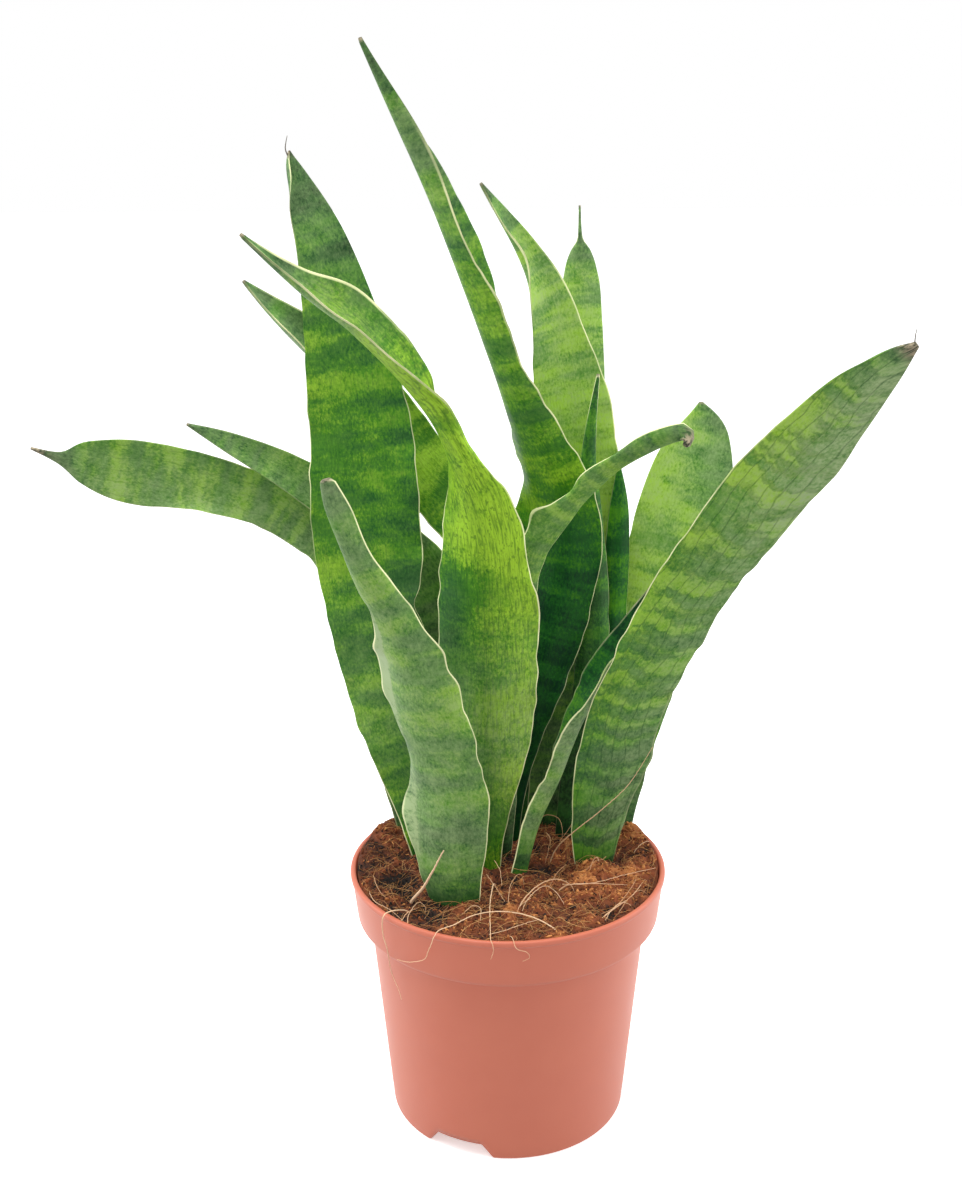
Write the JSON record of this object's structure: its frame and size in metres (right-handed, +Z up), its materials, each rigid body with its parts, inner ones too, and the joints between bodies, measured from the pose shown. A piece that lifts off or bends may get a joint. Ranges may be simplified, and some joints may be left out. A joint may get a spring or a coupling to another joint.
{
  "type": "potted snake plant",
  "caption": "Snake plant with broad pointed, gently twisted upright leaves standing in coir in a round tapered plastic nursery pot with a stepped rim.",
  "frame": {"origin": "on the surface the pot stands on, under the middle of the whole plant's bounding box", "axes": "+Z up along the pot's axis and the leaves; -Y towards the side seen in the picture; +X to its right"},
  "size_m": [0.305, 0.1344, 0.3963],
  "materials": {
    "pot": "moulded satin terracotta",
    "soil": "moist coir",
    "leaf": "waxy banded leaf",
    "root": "dry fibre"
  },
  "bodies": {
    "root": {"pot": "pot", "soil": "soil", "leaf_front": "leaf", "leaf_centre": "leaf", "leaf_tall_left": "leaf", "leaf_upper_left": "leaf", "leaf_long_left": "leaf", "leaf_short_left": "leaf", "leaf_tallest": "leaf", "leaf_curling": "leaf", "leaf_bright": "leaf", "leaf_back": "leaf", "leaf_spear": "leaf", "leaf_narrow_right": "leaf", "leaf_broad_right": "leaf", "leaf_large_right": "leaf", "leaf_small_front": "leaf", "root_spike": "root", "root_over_rim": "root", "root_hanging": "root", "root_front": "root", "root_arch": "root", "root_low_right": "root", "root_edge_right": "root", "root_leaning": "root"}
  },
  "joints": []
}
